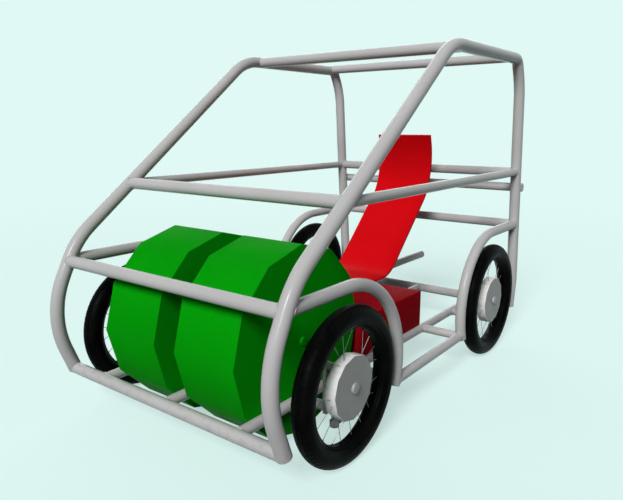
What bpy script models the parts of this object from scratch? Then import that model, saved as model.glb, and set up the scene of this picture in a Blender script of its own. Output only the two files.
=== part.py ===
"""Recumbent quadricycle: a bent-tube space frame on four spoked wheels, with twin drums, box and seat.

Metres, +Z up. The vehicle drives towards -Y and its left side is +X. The origin is on the ground,
below the middle of the vehicle's outline.
"""
import math

import bmesh
import bpy
from mathutils import Matrix, Vector

# ---------------------------------------------------------------- driving dimensions
GAP = 0.0003                    # clearance between pieces that touch
FIT = 0.0005                    # clearance of a pin in its bore

HOOP_PLANE = 0.500              # middle of the frame to the plane of a side hoop
HOOP_RADIUS = 0.0243            # tube radii
CROSSBAR_RADIUS = 0.0216
ARCH_RADIUS = 0.0212
REAR_BAR_RADIUS = 0.0205
RAIL_RADIUS = 0.0185            # floor rails, sills and spine
BELT_RADIUS = 0.0176
TUBE_SIDES = 16
PIN_SIDES = 12                  # flats of a pin, bore, boss or cap

# Corners of a side hoop seen from the side, in the order y, z, bend radius.
HOOP_CORNERS = (
    (-0.8684, 0.1570, None),    # open front foot
    (-0.9500, 0.3788, 0.335),   # nose
    (-0.8250, 0.6320, 0.312),   # brow, where the raked pillar starts
    (0.0780, 1.3230, 0.244),    # front of the roof
    (0.7790, 1.3278, 0.050),    # rear of the roof
    (0.8362, 1.2150, 0.300),    # top of the rear post
    (0.9180, 0.2750, 0.200),    # where the rear post turns in
    (0.8975, 0.1450, None),     # open rear foot
)
BEND_STEP = math.radians(8)     # turn of a bent tube from one ring to the next

FLOOR_Z = 0.163                 # height of the floor tubes
NOSE_BAR_Z = 0.562
BELT_Z = 0.819
ROOF_FRONT_BAR = (0.172, 1.3205)  # y and z; the bars sit a little off the middle of the roof tubes
ROOF_REAR_BAR = (0.749, 1.3325)
REAR_BAR_Z = 0.742
REAR_BAR_OVERHANG = 0.0195      # free end of the rear bar beyond the hoop's plane
FLOOR_RAIL_X = 0.323

FRONT_AXLE_Y = -0.5665
WHEELBASE = 1.162
WHEEL_PLANE = 0.5014            # middle of the vehicle to the middle of a tyre
TYRE_RING_RADIUS = 0.2196       # axle to the middle of the tyre's section
TYRE_SECTION_RADIUS = 0.0349
TYRE_SEGMENTS = 40
TYRE_SECTION_POINTS = 10
TYRE_SEAT_ANGLE = math.radians(30)  # half the angle of the section that the rim cuts off

ARCH_TOP_Z = 0.5665
FRONT_ARCH_REACH = 0.3145       # front axle to the leg of its arch, at the height of the axle
REAR_ARCH_REACH = 0.3040
ARCH_WRAP = math.radians(110)   # how far an arch goes round its wheel, from straight above the axle
FOOT_TUBE_RADIUS = 0.0175
FOOT_TUBE_INSET = 0.011         # middle of an arch's foot to the middle of its foot tube

HUB_RADIUS = 0.1045             # corner radius of the 12-sided hub
HUB_SIDES = 12
HUB_INBOARD = 0.0134            # tyre's middle plane to the hub's inner face
HUB_OUTBOARD = 0.0266
RIM_DEPTH = 0.0066
RIM_BASE_HALF_WIDTH = 0.011
SPOKE_COUNT = 20
SPOKE_RADIUS = 0.0010
SPOKE_SIDES = 6
SPOKE_FLANGE = 0.012            # offset of a spoke's inner end to either side
SPOKE_LEAD = math.radians(13)   # angle between a spoke's two ends, round the axle
STUB_RADIUS = 0.010
CAP_RADIUS = 0.0180
CAP_LENGTH = 0.008

KINGPIN_X = 0.455
KINGPIN_RADIUS = 0.010
KINGPIN_STAND_PROUD = 0.004      # of the pin above its upper lug
LUG_THICKNESS = 0.012
LUG_RADIUS = 0.0155
KNUCKLE_HEIGHT = 0.083
BRACKET_WIDTH = 0.032
BRACKET_WEB = 0.014
BRACKET_FACE_X = 0.4205         # inner face of the upright plates
BRACKET_TUBE_RADIUS = 0.0165    # tube from the floor rail to an upright plate
BRACKET_TUBE_RUN_IN = 0.007     # how far that tube goes into the plate
LUG_RUN_IN = 0.010              # how far a lug or a fixed axle goes into the plate from outside
STEER_ARM_Z = 0.115
STEER_ARM_LENGTH = 0.3035
STEER_ARM_WIDTH = 0.010
STEER_ARM_HEIGHT = 0.020
STEER_ARM_STEP = 0.0008         # of the arm below the faces of its two ends
STEER_ARM_END_RADIUS = 0.012
TIE_ROD_Z = 0.0955
TIE_ROD_RADIUS = 0.007
TIE_EYE_RADIUS = 0.013
TIE_EYE_THICKNESS = 0.014
TIE_PIN_RADIUS = 0.005
TIE_PIN_STAND_PROUD = 0.002     # of the pin below the rod's eye

DRUM_Y = -0.5356
DRUM_RADIUS = 0.3227            # corner radius of the 12-sided drums
DRUM_SIDES = 12
DRUM_INNER_X = 0.049            # half the gap between the drums
DRUM_BOSS_RADIUS = 0.0145
DRUM_BOSS_LENGTH = 0.009
DRUM_BORE_DEPTH = 0.150
DRUM_AXLE_RADIUS = 0.0145

SPINE_Z = 0.346
SPINE_END_Y = 0.916
SPINE_POST_SETBACK = 0.075      # drum axle to the post behind it

BOX_FRONT_Y = -0.209
BOX_REAR_Y = 0.275
BOX_TOP_Z = 0.337
BOX_EDGE = 0.004

SEAT_WIDTH = 0.286
SEAT_THICKNESS = 0.010
# Corners of the seat's upper surface seen from the side: y, height above the pan, bend radius.
SEAT_CORNERS = (
    (0.096, 0.000, None),       # front edge
    (0.312, 0.000, 0.150),      # rear of the pan
    (0.657, 0.343, 0.200),      # lower back
    (0.705, 0.500, 0.300),      # shoulder
    (0.670, 0.615, None),       # top edge
)

# Finishes in the order name, colour, roughness, metallic.
FINISHES = {
    "tube_grey": ((0.50, 0.49, 0.49), 0.35, 0.0),
    "drum_green": ((0.005, 0.32, 0.008), 0.45, 0.0),
    "seat_red": ((0.60, 0.005, 0.012), 0.40, 0.0),
    "tyre_black": ((0.004, 0.004, 0.004), 0.70, 0.0),
    "hub_grey": ((0.22, 0.22, 0.22), 0.45, 0.0),
    "steel": ((0.45, 0.45, 0.46), 0.35, 1.0),
}

REAR_AXLE_Y = FRONT_AXLE_Y + WHEELBASE
AXLE_Z = TYRE_RING_RADIUS + TYRE_SECTION_RADIUS
SIDES = {"left": 1, "right": -1}


# ---------------------------------------------------------------- making meshes
def clear_scene():
    """Remove every object that the file starts with."""
    for old in list(bpy.data.objects):
        bpy.data.objects.remove(old, do_unlink=True)


def make_finishes():
    """Make one Principled material for each finish."""
    for name, (colour, roughness, metallic) in FINISHES.items():
        material = bpy.data.materials.new(name)
        material.use_nodes = True
        shader = material.node_tree.nodes["Principled BSDF"]
        shader.inputs["Base Color"].default_value = (*colour, 1.0)
        shader.inputs["Roughness"].default_value = roughness
        shader.inputs["Metallic"].default_value = metallic
        material.diffuse_color = (*colour, 1.0)


def make_object(name, bm, finish, smooth=True):
    """Turn a bmesh into a named object with outward faces and a finish."""
    bmesh.ops.recalc_face_normals(bm, faces=bm.faces[:])
    mesh = bpy.data.meshes.new(name)
    bm.to_mesh(mesh)
    bm.free()
    mesh.materials.append(bpy.data.materials[finish])
    if smooth:
        mesh.shade_smooth()
        mesh.set_sharp_from_angle(angle=math.radians(35))
    piece = bpy.data.objects.new(name, mesh)
    bpy.context.scene.collection.objects.link(piece)
    return piece


def hide_tool(tool):
    """Keep a cutter or a piece that was joined to another out of the finished model."""
    tool.hide_render = True
    tool.hide_viewport = True
    tool.display_type = "WIRE"
    return tool


def combine(piece, tool, operation):
    """Cut the tool from the piece, or join it on."""
    change = piece.modifiers.new(f"{operation.lower()} {tool.name}", "BOOLEAN")
    change.operation = operation
    change.object = hide_tool(tool)
    return piece


def rounded_path(corners, x=0.0):
    """Return the centreline through corners of y, z and bend radius, in the plane at x."""
    flat = [Vector((y, z)) for y, z, _ in corners]
    path = [Vector((x, *flat[0]))]
    for before, corner, after, (_, _, radius) in zip(flat, flat[1:], flat[2:], corners[1:]):
        to_before = (before - corner).normalized()
        to_after = (after - corner).normalized()
        half_angle = to_before.angle(to_after) / 2
        centre = corner + (to_before + to_after).normalized() * radius / math.sin(half_angle)
        start = corner + to_before * radius / math.tan(half_angle) - centre
        turn = math.pi - 2 * half_angle
        direction = 1 if (corner - before).cross(after - corner) > 0 else -1
        steps = max(2, round(turn / BEND_STEP))
        for step in range(steps + 1):
            spoke = Matrix.Rotation(direction * turn * step / steps, 2) @ start
            path.append(Vector((x, *(centre + spoke))))
    path.append(Vector((x, *flat[-1])))
    return path


def tube_mesh(path, radius, sides=TUBE_SIDES):
    """Sweep a round bar of the given radius along a path that lies in one plane."""
    run = (path[-1] - path[0]).normalized()
    across = Vector((1, 0, 0)) if abs(run.x) < 0.5 else Vector((0, 0, 1))
    bm = bmesh.new()
    rings = []
    for index, point in enumerate(path):
        before = path[max(index - 1, 0)]
        after = path[min(index + 1, len(path) - 1)]
        tangent = ((point - before).normalized() + (after - point).normalized()).normalized()
        outward = tangent.cross(across).normalized()
        ring = []
        for side in range(sides):
            angle = math.tau * side / sides
            spot = point + radius * (math.cos(angle) * across + math.sin(angle) * outward)
            ring.append(bm.verts.new(spot))
        rings.append(ring)
    for ring, following in zip(rings, rings[1:]):
        for side in range(sides):
            other = (side + 1) % sides
            bm.faces.new((ring[side], ring[other], following[other], following[side]))
    bm.faces.new(rings[0])
    bm.faces.new(rings[-1])
    return bm


TUBES = {}                      # name: (path, radius), with which other tubes are coped


def run_on(path, length):
    """Return a path whose two ends go on straight by the given length."""
    start = path[0] + (path[0] - path[1]).normalized() * length
    end = path[-1] + (path[-1] - path[-2]).normalized() * length
    return [start, *path[1:-1], end]


def tube(name, path, radius, coped_on=(), finish="tube_grey", open_foot=False):
    """Make a tube whose ends are coped round the tubes that it is welded to.

    A tube that ends at the floor with an open foot takes the floor tubes on its flank, so their copes
    run on past its end.
    """
    TUBES[name] = (run_on(path, 2 * radius) if open_foot else path, radius)
    piece = make_object(name, tube_mesh(path, radius), finish)
    for carrier in coped_on:
        carrier_path, carrier_radius = TUBES[carrier]
        saddle = tube_mesh(carrier_path, carrier_radius + GAP)
        combine(piece, make_object(f"{name}-saddle-{carrier}", saddle, finish), "DIFFERENCE")
    return piece


def prism(radius, start, end, sides, axis="X"):
    """Return a bmesh prism with a corner at the top, from start to end along an axis through the origin."""
    turn = {"X": Matrix.Rotation(math.pi / 2, 4, "Y"), "Z": Matrix.Identity(4)}[axis]
    bm = bmesh.new()
    middle = Matrix.Translation((0, 0, (start + end) / 2))
    bmesh.ops.create_cone(bm, cap_ends=True, segments=sides, radius1=radius, radius2=radius,
                          depth=end - start, matrix=turn @ middle)
    return bm


def block(low, high, edge=0.0):
    """Return a bmesh box between two corners, with its edges eased by the given width."""
    bm = bmesh.new()
    size = Vector(high) - Vector(low)
    middle = (Vector(high) + Vector(low)) / 2
    bmesh.ops.create_cube(bm, size=1, matrix=Matrix.Translation(middle) @ Matrix.Diagonal((*size, 1)))
    if edge:
        bmesh.ops.bevel(bm, geom=bm.edges[:], offset=edge, segments=2, profile=0.5, affect="EDGES")
    return bm


def pin(name, radius, ends, x, y, finish="steel"):
    """Make an upright pin, boss or bore between two heights."""
    bm = prism(radius, *ends, PIN_SIDES, "Z")
    bmesh.ops.translate(bm, vec=(x, y, 0), verts=bm.verts[:])
    return make_object(name, bm, finish)


def journal(name, radius, ends, centre, finish="steel"):
    """Make a round piece along the axle, between two places across the vehicle."""
    bm = prism(radius, *sorted(ends), PIN_SIDES)
    bmesh.ops.translate(bm, vec=(0, centre.y, centre.z), verts=bm.verts[:])
    return make_object(name, bm, finish)


def turned(section, segments, finish, name):
    """Turn a closed section of (x, radius) points round the X axis."""
    bm = bmesh.new()
    rings = []
    for segment in range(segments):
        angle = math.tau * segment / segments
        rings.append([bm.verts.new((x, r * math.cos(angle), r * math.sin(angle))) for x, r in section])
    for ring, following in zip(rings, rings[1:] + rings[:1]):
        for point in range(len(section)):
            other = (point + 1) % len(section)
            bm.faces.new((ring[point], ring[other], following[other], following[point]))
    return make_object(name, bm, finish)


# ---------------------------------------------------------------- frame
def point_on_hoop(y=None, z=None, rear=False):
    """Return y and z of the hoop's centreline where it crosses a height or a station."""
    path = rounded_path(HOOP_CORNERS)
    if rear:
        path = path[::-1]
    for start, end in zip(path, path[1:]):
        for value, axis in ((y, 1), (z, 2)):
            if value is not None and min(start[axis], end[axis]) <= value <= max(start[axis], end[axis]):
                share = (value - start[axis]) / (end[axis] - start[axis])
                return (start + (end - start) * share)[1:]
    raise ValueError("the hoop doesn't reach this place")


def crossbar(name, y, z, coped_on, radius=CROSSBAR_RADIUS, half_length=HOOP_PLANE):
    """Make a straight tube across the vehicle."""
    return tube(name, [Vector((-half_length, y, z)), Vector((half_length, y, z))], radius, coped_on)


def make_hoops_and_crossbars():
    """Make the two side hoops and the tubes that join them."""
    hoops = [f"{side}_hoop" for side in SIDES]
    for name, sign in zip(hoops, SIDES.values()):
        tube(name, rounded_path(HOOP_CORNERS, sign * HOOP_PLANE), HOOP_RADIUS, open_foot=True)
    crossbar("roof_front_crossbar", *ROOF_FRONT_BAR, hoops)
    crossbar("roof_rear_crossbar", *ROOF_REAR_BAR, hoops)
    crossbar("belt_front_crossbar", *point_on_hoop(z=BELT_Z), hoops)
    crossbar("belt_rear_crossbar", *point_on_hoop(z=BELT_Z, rear=True), hoops)
    crossbar("nose_crossbar", *point_on_hoop(z=NOSE_BAR_Z), hoops)
    crossbar("rear_lower_crossbar", *point_on_hoop(z=ARCH_TOP_Z, rear=True), hoops)
    crossbar("floor_front_crossbar", *point_on_hoop(z=FLOOR_Z), hoops)
    crossbar("floor_rear_crossbar", *point_on_hoop(z=FLOOR_Z, rear=True), hoops)
    post_y, _ = point_on_hoop(z=REAR_BAR_Z, rear=True)
    lower_y, _ = point_on_hoop(z=REAR_BAR_Z - REAR_BAR_RADIUS, rear=True)
    lean = math.atan2(lower_y - post_y, REAR_BAR_RADIUS)
    bar_y = post_y + (HOOP_RADIUS + REAR_BAR_RADIUS + GAP) / math.cos(lean)
    crossbar("rear_bar", bar_y, REAR_BAR_Z, (), REAR_BAR_RADIUS, HOOP_PLANE + REAR_BAR_OVERHANG)


def make_rails_and_arches():
    """Make the tubes that run fore and aft, and the arches over the wheels."""
    floor_front, _ = point_on_hoop(z=FLOOR_Z)
    floor_rear, _ = point_on_hoop(z=FLOOR_Z, rear=True)
    for word, x in (("left", FLOOR_RAIL_X), ("centre", 0), ("right", -FLOOR_RAIL_X)):
        ends = [Vector((x, floor_front, FLOOR_Z)), Vector((x, floor_rear, FLOOR_Z))]
        tube(f"{word}_floor_rail", ends, RAIL_RADIUS, ("floor_front_crossbar", "floor_rear_crossbar"))
    belt_front, _ = point_on_hoop(z=BELT_Z)
    belt_rear, _ = point_on_hoop(z=BELT_Z, rear=True)
    for side, sign in SIDES.items():
        x = sign * HOOP_PLANE
        hoop = f"{side}_hoop"
        ends = [Vector((x, belt_front, BELT_Z)), Vector((x, belt_rear, BELT_Z))]
        tube(f"{side}_belt_rail", ends, BELT_RADIUS, (hoop, "belt_front_crossbar", "belt_rear_crossbar"))
        front_arch, rear_arch = f"{side}_front_arch", f"{side}_rear_arch"
        for arch, axle_y, reach, bar in ((front_arch, FRONT_AXLE_Y, FRONT_ARCH_REACH, "nose_crossbar"),
                                         (rear_arch, REAR_AXLE_Y, -REAR_ARCH_REACH, "rear_lower_crossbar")):
            tube(arch, arch_path(x, axle_y, reach), ARCH_RADIUS, (hoop, bar), open_foot=True)
        front_foot = foot_y(FRONT_AXLE_Y, FRONT_ARCH_REACH)
        rear_foot = foot_y(REAR_AXLE_Y, -REAR_ARCH_REACH)
        sill = f"{side}_sill"
        ends = [Vector((x, front_foot, FLOOR_Z)), Vector((x, rear_foot, FLOOR_Z))]
        tube(sill, ends, RAIL_RADIUS, (front_arch, rear_arch))
        for end, y, arch in (("front", front_foot + FOOT_TUBE_INSET, front_arch),
                             ("rear", rear_foot - FOOT_TUBE_INSET, rear_arch)):
            ends = [Vector((sign * FLOOR_RAIL_X, y, FLOOR_Z)), Vector((x, y, FLOOR_Z))]
            tube(f"{side}_{end}_foot_tube", ends, FOOT_TUBE_RADIUS, (f"{side}_floor_rail", arch, sill))


def arch_path(x, axle_y, reach):
    """Return the centreline of an arch: straight from the hoop, then round the wheel towards its foot."""
    hoop_y, _ = point_on_hoop(z=ARCH_TOP_Z, rear=reach < 0)
    path = [Vector((x, hoop_y, ARCH_TOP_Z))]
    steps = round(ARCH_WRAP / BEND_STEP)
    for step in range(steps + 1):
        angle = ARCH_WRAP * step / steps
        rise = (ARCH_TOP_Z - AXLE_Z) * math.cos(angle)
        path.append(Vector((x, axle_y + reach * math.sin(angle), AXLE_Z + rise)))
    return path


def foot_y(axle_y, reach):
    """Return the station of an arch's centreline at the height of the floor."""
    drop = (AXLE_Z - FLOOR_Z) / (ARCH_TOP_Z - AXLE_Z)
    return axle_y + reach * math.sqrt(1 - drop ** 2)


def make_spine():
    """Make the tube along the middle, the axle that holds the drums and the post under them."""
    reach = DRUM_INNER_X + DRUM_BORE_DEPTH - GAP
    ends = [Vector((-reach, DRUM_Y, SPINE_Z)), Vector((reach, DRUM_Y, SPINE_Z))]
    tube("drum_axle", ends, DRUM_AXLE_RADIUS)
    ends = [Vector((0, DRUM_Y, SPINE_Z)), Vector((0, SPINE_END_Y, SPINE_Z))]
    tube("spine_tube", ends, RAIL_RADIUS, ("drum_axle",))
    post_y = DRUM_Y + SPINE_POST_SETBACK
    ends = [Vector((0, post_y, FLOOR_Z)), Vector((0, post_y, SPINE_Z))]
    tube("spine_post", ends, DRUM_AXLE_RADIUS, ("centre_floor_rail", "spine_tube"))


# ---------------------------------------------------------------- load
def make_drums():
    """Make the twin drums, each a 12-sided prism with a boss outside and a blind bore for the axle."""
    outer = FLOOR_RAIL_X - RAIL_RADIUS - GAP
    for side, sign in SIDES.items():
        ends = sorted((sign * DRUM_INNER_X, sign * outer))
        drum = make_object(f"{side}_drum", prism(DRUM_RADIUS, *ends, DRUM_SIDES), "drum_green")
        drum.location = (0, DRUM_Y, SPINE_Z)
        ends = sorted((sign * (outer - DRUM_BOSS_LENGTH), sign * (outer + DRUM_BOSS_LENGTH)))
        boss = make_object(f"{side}_drum-boss", prism(DRUM_BOSS_RADIUS, *ends, PIN_SIDES), "drum_green")
        boss.location = drum.location
        combine(drum, boss, "UNION")
        ends = sorted((sign * DRUM_INNER_X / 2, sign * (DRUM_INNER_X + DRUM_BORE_DEPTH)))
        bore = prism(DRUM_AXLE_RADIUS + GAP, *ends, TUBE_SIDES)
        bore = make_object(f"{side}_drum-bore", bore, "drum_green")
        bore.location = drum.location
        combine(drum, bore, "DIFFERENCE")


def make_box():
    """Make the box that stands on the outer floor rails, with a saddle for the spine in its lid."""
    low = (-FLOOR_RAIL_X, BOX_FRONT_Y, FLOOR_Z + RAIL_RADIUS + GAP)
    high = (FLOOR_RAIL_X, BOX_REAR_Y, BOX_TOP_Z)
    box = make_object("seat_box", block(low, high, BOX_EDGE), "seat_red")
    spine_path, spine_radius = TUBES["spine_tube"]
    groove = make_object("seat_box-groove", tube_mesh(spine_path, spine_radius + GAP), "seat_red")
    combine(box, groove, "DIFFERENCE")


def make_seat():
    """Make the seat, one curved sheet that rests on the spine."""
    pan_top = SPINE_Z + RAIL_RADIUS + GAP + SEAT_THICKNESS
    corners = [(y, pan_top + height, radius) for y, height, radius in SEAT_CORNERS]
    path = rounded_path(corners)
    bm = bmesh.new()
    rows = []
    for index, point in enumerate(path):
        tangent = (path[min(index + 1, len(path) - 1)] - path[max(index - 1, 0)]).normalized()
        under = Vector((1, 0, 0)).cross(tangent) * -SEAT_THICKNESS
        row = []
        for x, depth in ((-0.5, 0), (0.5, 0), (0.5, 1), (-0.5, 1)):
            row.append(bm.verts.new(point + Vector((x * SEAT_WIDTH, 0, 0)) + under * depth))
        rows.append(row)
    for row, following in zip(rows, rows[1:]):
        for corner in range(4):
            other = (corner + 1) % 4
            bm.faces.new((row[corner], row[other], following[other], following[corner]))
    bm.faces.new(rows[0])
    bm.faces.new(rows[-1])
    make_object("seat", bm, "seat_red")


# ---------------------------------------------------------------- wheels and steering
def wheel_centres():
    """Return the name, side sign and axle centre of each wheel."""
    centres = []
    for end, y in (("front", FRONT_AXLE_Y), ("rear", REAR_AXLE_Y)):
        for side, sign in SIDES.items():
            centres.append((f"{end}_{side}", sign, Vector((sign * WHEEL_PLANE, y, AXLE_Z))))
    return centres


def spokes_mesh():
    """Return all the wires of one wheel, laced in crossing pairs from either side of the hub."""
    hub_end = HUB_RADIUS * math.cos(math.pi / HUB_SIDES) - 4 * SPOKE_RADIUS
    rim_end = rim_top_radius() - RIM_DEPTH / 2
    bm = bmesh.new()
    for index in range(SPOKE_COUNT):
        flange = 1 if index % 2 else -1
        lead = SPOKE_LEAD if index % 4 < 2 else -SPOKE_LEAD
        rim_angle = math.tau * (index + 0.5) / SPOKE_COUNT
        hub_angle = rim_angle + lead
        inner = hub_end * Vector((0, math.cos(hub_angle), math.sin(hub_angle)))
        inner.x = flange * SPOKE_FLANGE
        outer = rim_end * Vector((0, math.cos(rim_angle), math.sin(rim_angle)))
        wire = tube_mesh([inner, outer], SPOKE_RADIUS, sides=SPOKE_SIDES)
        spare = bpy.data.meshes.new("wire")
        wire.to_mesh(spare)
        wire.free()
        bm.from_mesh(spare)
        bpy.data.meshes.remove(spare)
    return bm


def rim_top_radius():
    """Return the radius of the rim's outer face, just inside the tyre's seat."""
    return TYRE_RING_RADIUS - TYRE_SECTION_RADIUS * math.cos(TYRE_SEAT_ANGLE) - GAP


def make_wheels():
    """Make the tyres and the spoked wheels, each placed on its own axle centre."""
    section = []
    for index in range(TYRE_SECTION_POINTS + 1):
        angle = math.pi + TYRE_SEAT_ANGLE + (math.tau - 2 * TYRE_SEAT_ANGLE) * index / TYRE_SECTION_POINTS
        x = TYRE_SECTION_RADIUS * math.sin(angle)
        section.append((x, TYRE_RING_RADIUS + TYRE_SECTION_RADIUS * math.cos(angle)))
    top = rim_top_radius()
    rim_half_width = TYRE_SECTION_RADIUS * math.sin(TYRE_SEAT_ANGLE) - GAP
    rim_section = ((-rim_half_width, top), (rim_half_width, top),
                   (RIM_BASE_HALF_WIDTH, top - RIM_DEPTH), (-RIM_BASE_HALF_WIDTH, top - RIM_DEPTH))
    for name, sign, centre in wheel_centres():
        tyre = turned(section, TYRE_SEGMENTS, "tyre_black", f"{name}_tyre")
        wheel = turned(rim_section, TYRE_SEGMENTS, "steel", f"{name}_wheel")
        spokes = make_object(f"{name}_wheel-spokes", spokes_mesh(), "steel")
        ends = sorted((-sign * HUB_INBOARD, sign * HUB_OUTBOARD))
        hub = make_object(f"{name}_wheel-hub", prism(HUB_RADIUS, *ends, HUB_SIDES), "hub_grey")
        ends = (-HUB_RADIUS, HUB_RADIUS)
        bore = make_object(f"{name}_wheel-bore", prism(STUB_RADIUS + FIT, *ends, PIN_SIDES), "hub_grey")
        for piece in (tyre, wheel, spokes, hub, bore):
            piece.location = centre
        combine(wheel, spokes, "UNION")
        combine(wheel, hub, "UNION")
        combine(wheel, bore, "DIFFERENCE")


def stub_axle(name, start_x, sign, centre):
    """Return the stub axle and the cap at its outer end, which keeps the wheel on."""
    cap_start = WHEEL_PLANE + HUB_OUTBOARD + FIT
    stub = journal(name, STUB_RADIUS, (sign * start_x, sign * (cap_start + CAP_LENGTH / 2)), centre)
    cap = journal(f"{name}-cap", CAP_RADIUS, (sign * cap_start, sign * (cap_start + CAP_LENGTH)), centre)
    return stub, cap


def upright(name, sign, y, top_z):
    """Make a plate that stands at the end of a stub tube, which is welded to the floor rail."""
    low_x, high_x = sorted((sign * BRACKET_FACE_X, sign * (BRACKET_FACE_X + BRACKET_WEB)))
    low = (low_x, y - BRACKET_WIDTH / 2, FLOOR_Z - RAIL_RADIUS)
    high = (high_x, y + BRACKET_WIDTH / 2, top_z)
    plate = make_object(name, block(low, high), "tube_grey", smooth=False)
    start = Vector((sign * FLOOR_RAIL_X, y, FLOOR_Z))
    end = Vector((sign * (BRACKET_FACE_X + BRACKET_TUBE_RUN_IN), y, FLOOR_Z))
    stub = make_object(f"{name}-stub", tube_mesh([start, end], BRACKET_TUBE_RADIUS), "tube_grey")
    combine(plate, stub, "UNION")
    rail_path, rail_radius = TUBES["left_floor_rail" if sign > 0 else "right_floor_rail"]
    saddle = make_object(f"{name}-saddle", tube_mesh(rail_path, rail_radius + GAP), "tube_grey")
    combine(plate, saddle, "DIFFERENCE")
    return plate


def make_rear_axles():
    """Make the two fixed rear axle carriers."""
    for side, sign in SIDES.items():
        centre = Vector((sign * WHEEL_PLANE, REAR_AXLE_Y, AXLE_Z))
        carrier = upright(f"rear_{side}_axle_carrier", sign, REAR_AXLE_Y, AXLE_Z + BRACKET_WIDTH / 2)
        start_x = BRACKET_FACE_X + BRACKET_WEB - LUG_RUN_IN
        for piece in stub_axle(f"rear_{side}_axle_carrier-axle", start_x, sign, centre):
            combine(carrier, piece, "UNION")


def lug(name, sign, low_z):
    """Make a flat lug that reaches out of an upright plate, with a round nose about the kingpin."""
    root_x = BRACKET_FACE_X + BRACKET_WEB - LUG_RUN_IN
    outline = [(root_x, -LUG_RADIUS)]
    for step in range(PIN_SIDES // 2 + 1):
        angle = math.tau * step / PIN_SIDES - math.pi / 2
        outline.append((KINGPIN_X + LUG_RADIUS * math.cos(angle), LUG_RADIUS * math.sin(angle)))
    outline.append((root_x, LUG_RADIUS))
    bm = bmesh.new()
    face = bm.faces.new([bm.verts.new((sign * x, FRONT_AXLE_Y + y, low_z)) for x, y in outline])
    grown = bmesh.ops.extrude_face_region(bm, geom=[face])["geom"]
    top = [spot for spot in grown if isinstance(spot, bmesh.types.BMVert)]
    bmesh.ops.translate(bm, vec=(0, 0, LUG_THICKNESS), verts=top)
    return make_object(name, bm, "tube_grey")


def make_front_brackets():
    """Make the fixed brackets whose two lugs hold the kingpins."""
    lug_gap = KNUCKLE_HEIGHT / 2 + 2 * FIT
    for side, sign in SIDES.items():
        name = f"front_{side}_bracket"
        bracket = upright(name, sign, FRONT_AXLE_Y, AXLE_Z + lug_gap + LUG_THICKNESS)
        for word, low_z in (("lower", AXLE_Z - lug_gap - LUG_THICKNESS), ("upper", AXLE_Z + lug_gap)):
            combine(bracket, lug(f"{name}-{word}-lug", sign, low_z), "UNION")
        bore = pin(f"{name}-bore", KINGPIN_RADIUS + FIT, (0, 2 * AXLE_Z), sign * KINGPIN_X, FRONT_AXLE_Y)
        combine(bracket, bore, "DIFFERENCE")


def make_knuckles():
    """Make the steered knuckles: kingpin, barrel, stub axle and an arm that runs back to the tie rod."""
    barrel = (AXLE_Z - KNUCKLE_HEIGHT / 2, AXLE_Z + KNUCKLE_HEIGHT / 2)
    arm = (STEER_ARM_Z - STEER_ARM_HEIGHT / 2, STEER_ARM_Z + STEER_ARM_HEIGHT / 2)
    pin_top = barrel[1] + 2 * FIT + LUG_THICKNESS + KINGPIN_STAND_PROUD
    stud_bottom = TIE_ROD_Z - TIE_EYE_THICKNESS / 2 - TIE_PIN_STAND_PROUD
    arm_end_y = FRONT_AXLE_Y + STEER_ARM_LENGTH
    for side, sign in SIDES.items():
        name = f"front_{side}_knuckle"
        x = sign * KINGPIN_X
        knuckle = pin(name, KINGPIN_RADIUS, (arm[0], pin_top), x, FRONT_AXLE_Y)
        low = (x - STEER_ARM_WIDTH / 2, FRONT_AXLE_Y, arm[0] + STEER_ARM_STEP)
        high = (x + STEER_ARM_WIDTH / 2, arm_end_y, arm[1] - STEER_ARM_STEP)
        pieces = [
            pin(f"{name}-barrel", LUG_RADIUS, barrel, x, FRONT_AXLE_Y),
            pin(f"{name}-eye", LUG_RADIUS, arm, x, FRONT_AXLE_Y),
            make_object(f"{name}-arm", block(low, high), "steel"),
            pin(f"{name}-end", STEER_ARM_END_RADIUS, arm, x, arm_end_y),
            pin(f"{name}-stud", TIE_PIN_RADIUS, (stud_bottom, STEER_ARM_Z), x, arm_end_y),
        ]
        centre = Vector((sign * WHEEL_PLANE, FRONT_AXLE_Y, AXLE_Z))
        pieces.extend(stub_axle(f"{name}-axle", KINGPIN_X, sign, centre))
        for piece in pieces:
            combine(knuckle, piece, "UNION")


def make_tie_rod():
    """Make the rod that joins the two steering arms."""
    y = FRONT_AXLE_Y + STEER_ARM_LENGTH
    ends = [Vector((-KINGPIN_X, y, TIE_ROD_Z)), Vector((KINGPIN_X, y, TIE_ROD_Z))]
    rod = make_object("tie_rod", tube_mesh(ends, TIE_ROD_RADIUS), "steel")
    eye_ends = (TIE_ROD_Z - TIE_EYE_THICKNESS / 2, TIE_ROD_Z + TIE_EYE_THICKNESS / 2)
    for side, sign in SIDES.items():
        eye = pin(f"tie_rod-{side}-eye", TIE_EYE_RADIUS, eye_ends, sign * KINGPIN_X, y)
        combine(rod, eye, "UNION")
    for side, sign in SIDES.items():
        bore = pin(f"tie_rod-{side}-bore", TIE_PIN_RADIUS + FIT, (0, AXLE_Z), sign * KINGPIN_X, y)
        combine(rod, bore, "DIFFERENCE")


clear_scene()
make_finishes()
make_hoops_and_crossbars()
make_rails_and_arches()
make_spine()
make_drums()
make_box()
make_seat()
make_wheels()
make_rear_axles()
make_front_brackets()
make_knuckles()
make_tie_rod()
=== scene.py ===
import math

import bmesh
import bpy
import numpy as np
from mathutils import Matrix, Vector
from mathutils.bvhtree import BVHTree


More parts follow.
